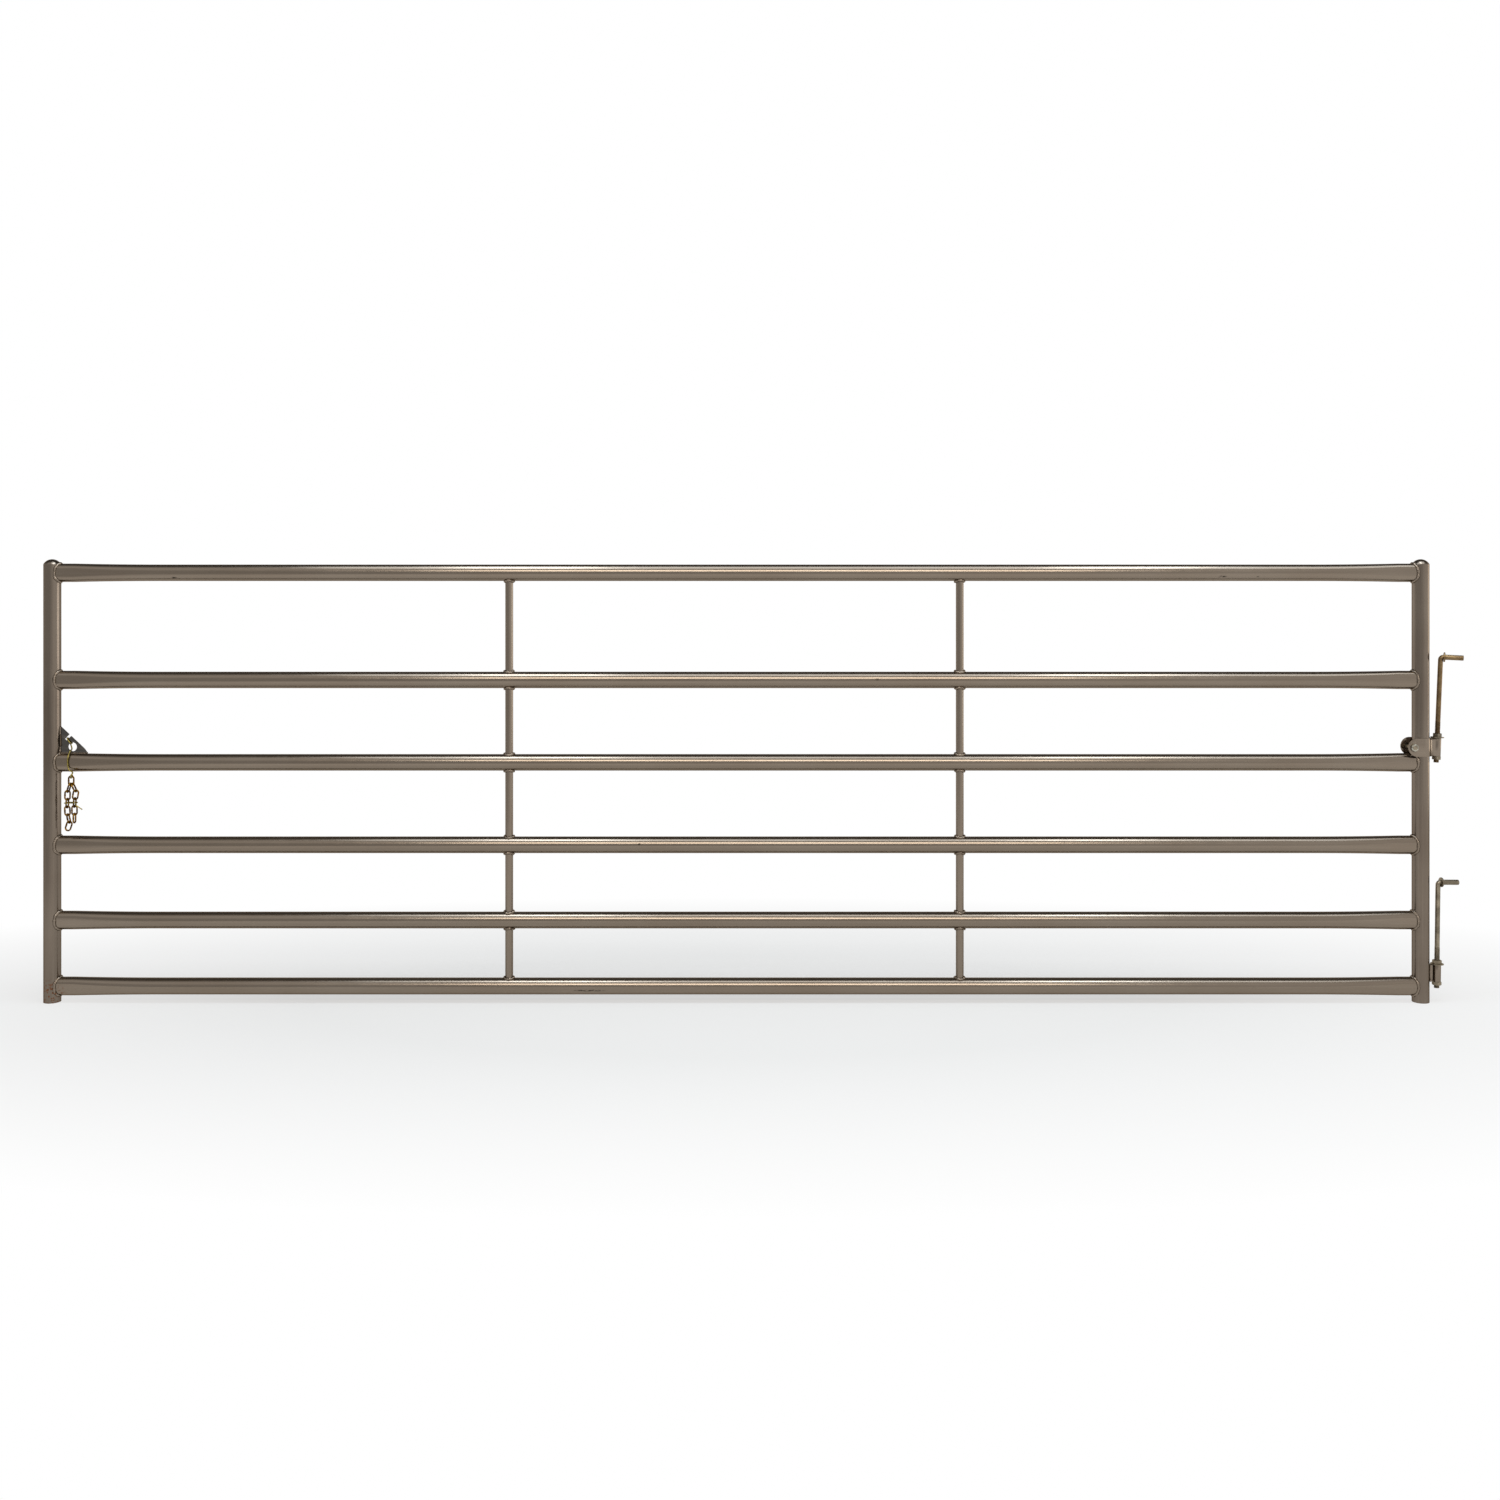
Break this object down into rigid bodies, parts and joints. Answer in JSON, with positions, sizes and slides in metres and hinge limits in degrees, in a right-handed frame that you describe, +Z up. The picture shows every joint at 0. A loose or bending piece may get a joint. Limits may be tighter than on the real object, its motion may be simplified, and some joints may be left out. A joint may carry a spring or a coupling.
{
  "type": "field gate",
  "caption": "Tubular steel field gate leaf with pressed-end rails, upright braces, capped posts, a chain latch on a slotted plate and threaded hook-bolt hinges.",
  "frame": {"origin": "centre of the hinge post's open foot, on the ground line", "axes": "+X along the leaf towards the hinge side, +Z up, front faces -Y"},
  "size_m": [4.3662, 0.0775, 1.363],
  "materials": {
    "paint": "semi-gloss grey-brown paint",
    "gold_zinc": "yellow zinc plate, dulled",
    "bare_zinc": "clear zinc plate"
  },
  "bodies": {
    "leaf": {"hinge_post": "paint", "latch_post": "paint", "hinge_post_cap": "paint", "latch_post_cap": "paint", "bottom_rail": "paint", "second_rail": "paint", "third_rail": "paint", "fourth_rail": "paint", "fifth_rail": "paint", "top_rail": "paint", "latch_brace_1": "paint", "latch_brace_2": "paint", "latch_brace_3": "paint", "latch_brace_4": "paint", "latch_brace_5": "paint", "hinge_brace_1": "paint", "hinge_brace_2": "paint", "hinge_brace_3": "paint", "hinge_brace_4": "paint", "hinge_brace_5": "paint", "latch_plate": "paint", "lower_hinge_barrel": "paint", "tie_wire": "gold_zinc"},
    "upper_hinge": {"upper_hinge_strap": "paint", "clamp_bolt": "gold_zinc", "clamp_nut": "bare_zinc"},
    "upper_hook_set": {"upper_hook": "gold_zinc", "upper_top_nut": "gold_zinc", "upper_washer": "gold_zinc", "upper_bottom_nut": "gold_zinc"},
    "lower_hook_set": {"lower_hook": "gold_zinc", "lower_top_nut": "gold_zinc", "lower_washer": "gold_zinc", "lower_bottom_nut": "gold_zinc"},
    "chain_top": {"chain_top_link": "gold_zinc"},
    "chain_strands": {"left_chain_link_1": "gold_zinc", "left_chain_link_2": "gold_zinc", "left_chain_link_3": "gold_zinc", "left_chain_link_4": "gold_zinc", "left_chain_link_5": "gold_zinc", "right_chain_link_1": "gold_zinc", "right_chain_link_2": "gold_zinc", "right_chain_link_3": "gold_zinc", "right_chain_link_4": "gold_zinc", "bundle_tie": "gold_zinc"},
    "left_end": {"left_chain_link_6": "gold_zinc"},
    "right_end": {"right_chain_link_5": "gold_zinc"}
  },
  "joints": [
    {"name": "upper_hinge_slide", "type": "slide", "parent": "leaf", "child": "upper_hinge", "axis": [0, 0, 1], "range_m": [-0.012, 0.16]},
    {"name": "upper_hook_turn", "type": "hinge", "parent": "upper_hinge", "child": "upper_hook_set", "pos_m": [0.05, 0, 0.785], "axis": [0.0436, 0, 0.999], "range_deg": [-110, 150]},
    {"name": "lower_hook_turn", "type": "hinge", "parent": "leaf", "child": "lower_hook_set", "pos_m": [0.05, 0, 0.0887], "axis": [0.014, 0, 0.9999], "range_deg": [-130, 125]},
    {"name": "chain_swing", "type": "hinge", "parent": "leaf", "child": "chain_top", "pos_m": [-4.1458, -0.027, 0.6933], "axis": [0, 1, 0], "range_deg": [-60, 8]},
    {"name": "strand_swing", "type": "hinge", "parent": "chain_top", "child": "chain_strands", "pos_m": [-4.1458, -0.027, 0.6722], "axis": [1, 0, 0], "range_deg": [-40, 40]},
    {"name": "left_end_swing", "type": "hinge", "parent": "chain_strands", "child": "left_end", "pos_m": [-4.15052, -0.027, 0.554], "axis": [0, 1, 0], "range_deg": [-38, 20]},
    {"name": "right_end_swing", "type": "hinge", "parent": "chain_strands", "child": "right_end", "pos_m": [-4.1358, -0.027, 0.57878], "axis": [1, 0, 0], "range_deg": [-40, 40]}
  ]
}
